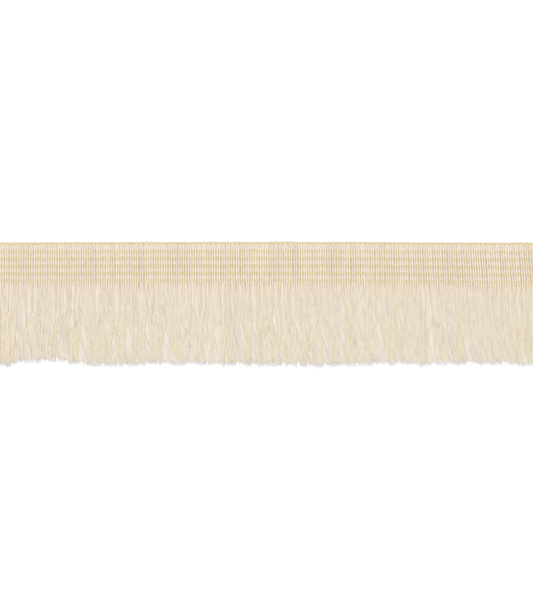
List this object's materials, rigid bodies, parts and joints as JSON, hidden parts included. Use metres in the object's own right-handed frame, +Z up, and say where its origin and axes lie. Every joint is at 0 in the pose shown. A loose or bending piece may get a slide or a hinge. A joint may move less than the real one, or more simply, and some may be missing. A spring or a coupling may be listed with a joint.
{
  "type": "chainette fringe trim",
  "caption": "Cream fringe trim laid flat: a narrow heading of laid-in yarns held by gold chain-stitch rows, with the yarns hanging free below as a cut fringe.",
  "frame": {"origin": "middle of the heading's flat back, on the surface the trim lies on", "axes": "+X along the trim, +Y to the heading's top edge, -Y to the fringe's tips, +Z up out of the face"},
  "size_m": [0.1804, 0.0387, 0.0019],
  "materials": {
    "heading_yarn": "matte cream yarn, laid side by side",
    "gold_thread": "fine pale gold thread with a soft sheen",
    "fringe_yarn": "soft cream plied yarn with a faint sheen"
  },
  "bodies": {
    "root": {"heading": "heading_yarn", "chain_row_1": "gold_thread", "chain_row_2": "gold_thread", "chain_row_3": "gold_thread", "chain_row_4": "gold_thread", "chain_row_5": "gold_thread", "chain_row_6": "gold_thread", "fringe": "fringe_yarn"}
  },
  "joints": []
}
